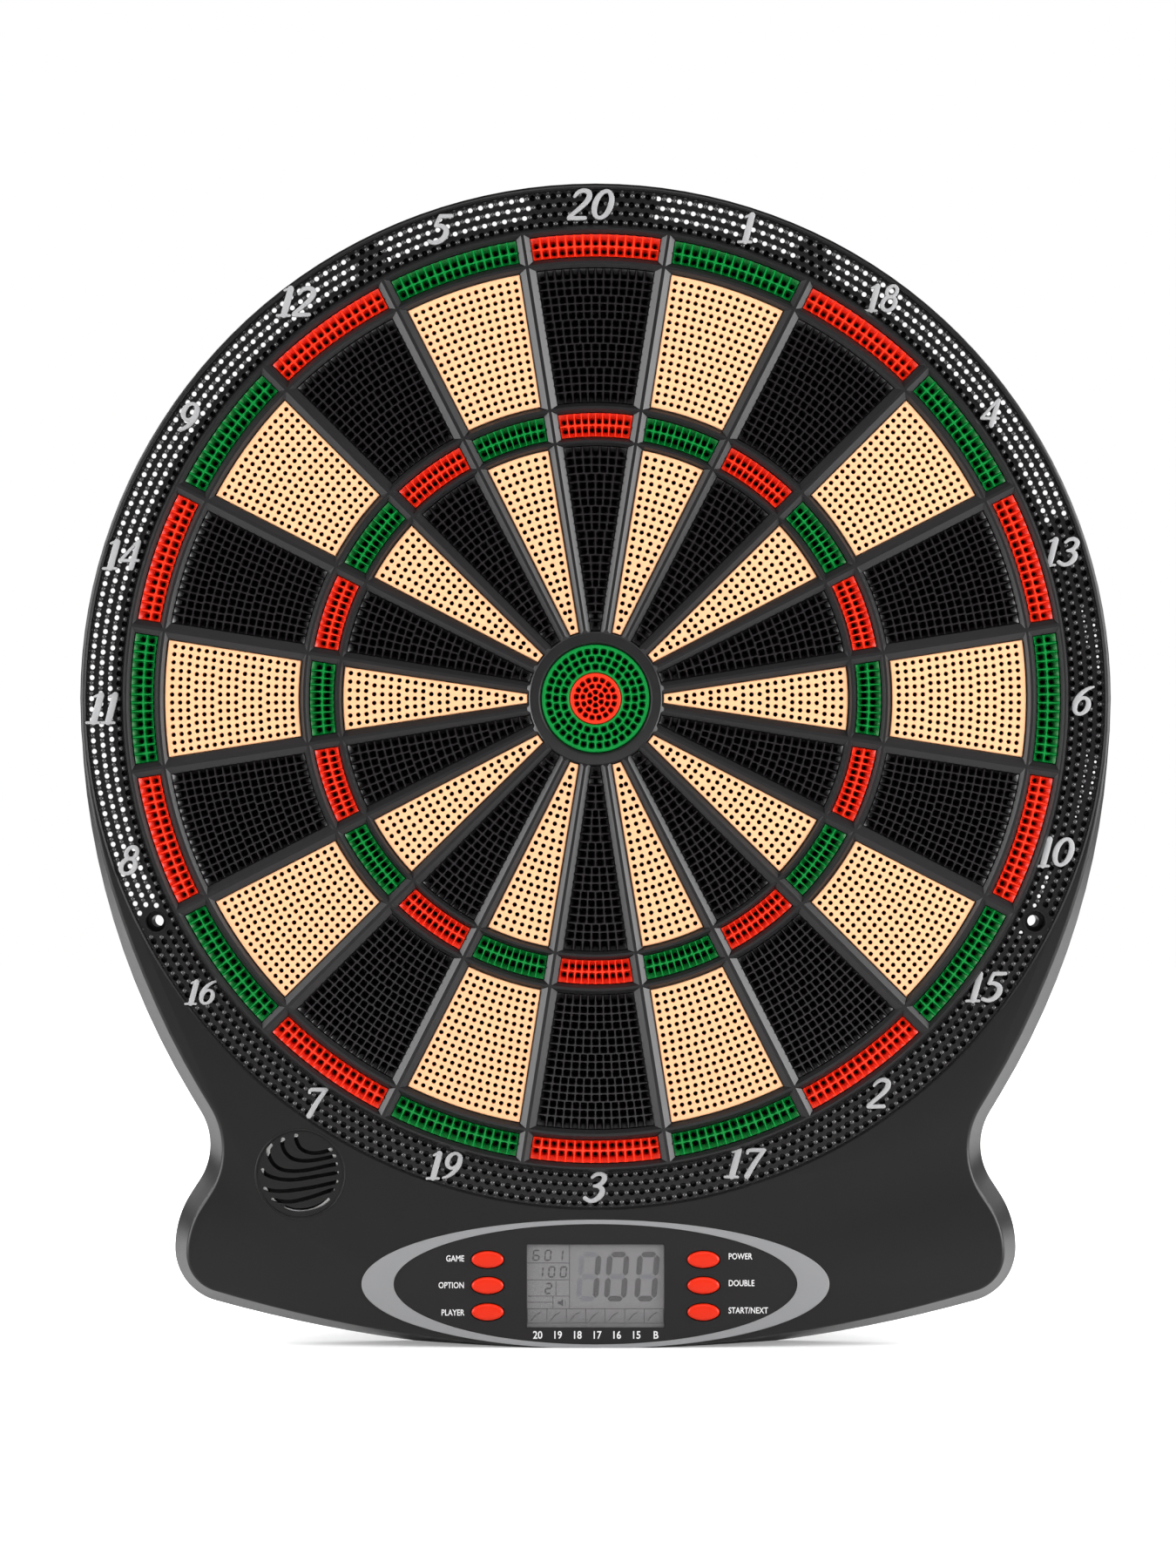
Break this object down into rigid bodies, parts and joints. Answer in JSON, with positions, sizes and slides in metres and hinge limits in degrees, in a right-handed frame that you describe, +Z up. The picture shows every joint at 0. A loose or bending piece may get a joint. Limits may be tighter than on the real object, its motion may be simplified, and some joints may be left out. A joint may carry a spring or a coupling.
{
  "type": "electronic dartboard",
  "caption": "Soft-tip electronic dartboard with sprung perforated segments, number ring, score display and push buttons",
  "frame": {"origin": "centre of the bull on the flat rear face, which lies against the wall", "axes": "+Z up, +X to the right of a player facing the board, +Y out of the back into the wall"},
  "size_m": [0.3896, 0.0253, 0.4418],
  "materials": {
    "black_plastic": "fine satin moulded",
    "spider_grey": "satin moulded",
    "segment_red": "satin moulded",
    "segment_green": "satin moulded",
    "segment_tan": "satin moulded",
    "segment_black": "satin moulded",
    "button_red": "satin moulded",
    "panel_silver": "printed silver",
    "clear_window": "polished clear plastic",
    "lcd_glass": "satin grey",
    "circuit_board": "solder mask",
    "chip_resin": "glossy",
    "keypad_rubber": "matte",
    "foam": "open-cell matte",
    "sensor_film": "smooth film",
    "paper_cone": "matte",
    "steel": "zinc plated",
    "battery_wrap": "printed sleeve",
    "wire_insulation": "matte"
  },
  "bodies": {
    "board": {"front_housing": "black_plastic", "rear_cover": "black_plastic", "hanging_tab": "black_plastic", "spider_web": "spider_grey", "sensor_membrane": "sensor_film", "membrane_tail": "sensor_film", "foam_pad": "foam", "control_overlay": "panel_silver", "lcd_window": "clear_window", "lcd_panel": "lcd_glass", "contact_strip": "keypad_rubber", "main_board": "circuit_board", "controller_chip": "chip_resin", "keypad_mat_left": "keypad_rubber", "keypad_mat_right": "keypad_rubber", "speaker_basket": "steel", "speaker_cone": "paper_cone", "speaker_magnet": "steel", "speaker_lead": "wire_insulation", "battery_lead": "wire_insulation", "battery_1": "battery_wrap", "battery_2": "battery_wrap", "battery_3": "battery_wrap", "battery_spring_plate": "steel", "battery_tip_plate": "steel", "cover_screw_1": "steel", "cover_screw_2": "steel", "cover_screw_3": "steel", "cover_screw_4": "steel", "cover_screw_5": "steel", "cover_screw_6": "steel"},
    "segments_20": {"segments_20": "segment_black"},
    "segments_1": {"segments_1": "segment_tan"},
    "segments_18": {"segments_18": "segment_black"},
    "segments_4": {"segments_4": "segment_tan"},
    "segments_13": {"segments_13": "segment_black"},
    "segments_6": {"segments_6": "segment_tan"},
    "segments_10": {"segments_10": "segment_black"},
    "segments_15": {"segments_15": "segment_tan"},
    "segments_2": {"segments_2": "segment_black"},
    "segments_17": {"segments_17": "segment_tan"},
    "segments_3": {"segments_3": "segment_black"},
    "segments_19": {"segments_19": "segment_tan"},
    "segments_7": {"segments_7": "segment_black"},
    "segments_16": {"segments_16": "segment_tan"},
    "segments_8": {"segments_8": "segment_black"},
    "segments_11": {"segments_11": "segment_tan"},
    "segments_14": {"segments_14": "segment_black"},
    "segments_9": {"segments_9": "segment_tan"},
    "segments_12": {"segments_12": "segment_black"},
    "segments_5": {"segments_5": "segment_tan"},
    "inner_bull": {"inner_bull": "segment_red"},
    "outer_bull": {"outer_bull": "segment_green"},
    "game_button": {"game_button": "button_red"},
    "option_button": {"option_button": "button_red"},
    "player_button": {"player_button": "button_red"},
    "power_button": {"power_button": "button_red"},
    "double_button": {"double_button": "button_red"},
    "start_button": {"start_button": "button_red"},
    "battery_door": {"battery_door": "black_plastic"}
  },
  "joints": [
    {"name": "segments_20_press", "type": "slide", "parent": "board", "child": "segments_20", "axis": [0, 1, 0], "range_m": [0, 0.0012], "stiffness_N_per_m": 1500},
    {"name": "segments_1_press", "type": "slide", "parent": "board", "child": "segments_1", "axis": [0, 1, 0], "range_m": [0, 0.0012], "stiffness_N_per_m": 1500},
    {"name": "segments_18_press", "type": "slide", "parent": "board", "child": "segments_18", "axis": [0, 1, 0], "range_m": [0, 0.0012], "stiffness_N_per_m": 1500},
    {"name": "segments_4_press", "type": "slide", "parent": "board", "child": "segments_4", "axis": [0, 1, 0], "range_m": [0, 0.0012], "stiffness_N_per_m": 1500},
    {"name": "segments_13_press", "type": "slide", "parent": "board", "child": "segments_13", "axis": [0, 1, 0], "range_m": [0, 0.0012], "stiffness_N_per_m": 1500},
    {"name": "segments_6_press", "type": "slide", "parent": "board", "child": "segments_6", "axis": [0, 1, 0], "range_m": [0, 0.0012], "stiffness_N_per_m": 1500},
    {"name": "segments_10_press", "type": "slide", "parent": "board", "child": "segments_10", "axis": [0, 1, 0], "range_m": [0, 0.0012], "stiffness_N_per_m": 1500},
    {"name": "segments_15_press", "type": "slide", "parent": "board", "child": "segments_15", "axis": [0, 1, 0], "range_m": [0, 0.0012], "stiffness_N_per_m": 1500},
    {"name": "segments_2_press", "type": "slide", "parent": "board", "child": "segments_2", "axis": [0, 1, 0], "range_m": [0, 0.0012], "stiffness_N_per_m": 1500},
    {"name": "segments_17_press", "type": "slide", "parent": "board", "child": "segments_17", "axis": [0, 1, 0], "range_m": [0, 0.0012], "stiffness_N_per_m": 1500},
    {"name": "segments_3_press", "type": "slide", "parent": "board", "child": "segments_3", "axis": [0, 1, 0], "range_m": [0, 0.0012], "stiffness_N_per_m": 1500},
    {"name": "segments_19_press", "type": "slide", "parent": "board", "child": "segments_19", "axis": [0, 1, 0], "range_m": [0, 0.0012], "stiffness_N_per_m": 1500},
    {"name": "segments_7_press", "type": "slide", "parent": "board", "child": "segments_7", "axis": [0, 1, 0], "range_m": [0, 0.0012], "stiffness_N_per_m": 1500},
    {"name": "segments_16_press", "type": "slide", "parent": "board", "child": "segments_16", "axis": [0, 1, 0], "range_m": [0, 0.0012], "stiffness_N_per_m": 1500},
    {"name": "segments_8_press", "type": "slide", "parent": "board", "child": "segments_8", "axis": [0, 1, 0], "range_m": [0, 0.0012], "stiffness_N_per_m": 1500},
    {"name": "segments_11_press", "type": "slide", "parent": "board", "child": "segments_11", "axis": [0, 1, 0], "range_m": [0, 0.0012], "stiffness_N_per_m": 1500},
    {"name": "segments_14_press", "type": "slide", "parent": "board", "child": "segments_14", "axis": [0, 1, 0], "range_m": [0, 0.0012], "stiffness_N_per_m": 1500},
    {"name": "segments_9_press", "type": "slide", "parent": "board", "child": "segments_9", "axis": [0, 1, 0], "range_m": [0, 0.0012], "stiffness_N_per_m": 1500},
    {"name": "segments_12_press", "type": "slide", "parent": "board", "child": "segments_12", "axis": [0, 1, 0], "range_m": [0, 0.0012], "stiffness_N_per_m": 1500},
    {"name": "segments_5_press", "type": "slide", "parent": "board", "child": "segments_5", "axis": [0, 1, 0], "range_m": [0, 0.0012], "stiffness_N_per_m": 1500},
    {"name": "inner_bull_press", "type": "slide", "parent": "board", "child": "inner_bull", "axis": [0, 1, 0], "range_m": [0, 0.0012], "stiffness_N_per_m": 400},
    {"name": "outer_bull_press", "type": "slide", "parent": "board", "child": "outer_bull", "axis": [0, 1, 0], "range_m": [0, 0.0012], "stiffness_N_per_m": 600},
    {"name": "game_button_press", "type": "slide", "parent": "board", "child": "game_button", "axis": [0, 1, 0], "range_m": [0, 0.001], "stiffness_N_per_m": 600},
    {"name": "option_button_press", "type": "slide", "parent": "board", "child": "option_button", "axis": [0, 1, 0], "range_m": [0, 0.001], "stiffness_N_per_m": 600},
    {"name": "player_button_press", "type": "slide", "parent": "board", "child": "player_button", "axis": [0, 1, 0], "range_m": [0, 0.001], "stiffness_N_per_m": 600},
    {"name": "power_button_press", "type": "slide", "parent": "board", "child": "power_button", "axis": [0, 1, 0], "range_m": [0, 0.001], "stiffness_N_per_m": 600},
    {"name": "double_button_press", "type": "slide", "parent": "board", "child": "double_button", "axis": [0, 1, 0], "range_m": [0, 0.001], "stiffness_N_per_m": 600},
    {"name": "start_button_press", "type": "slide", "parent": "board", "child": "start_button", "axis": [0, 1, 0], "range_m": [0, 0.001], "stiffness_N_per_m": 600},
    {"name": "battery_door_hinge", "type": "hinge", "parent": "board", "child": "battery_door", "pos_m": [0.102, -0.0011, -0.1767], "axis": [1, 0, 0], "range_deg": [0, 85]}
  ]
}
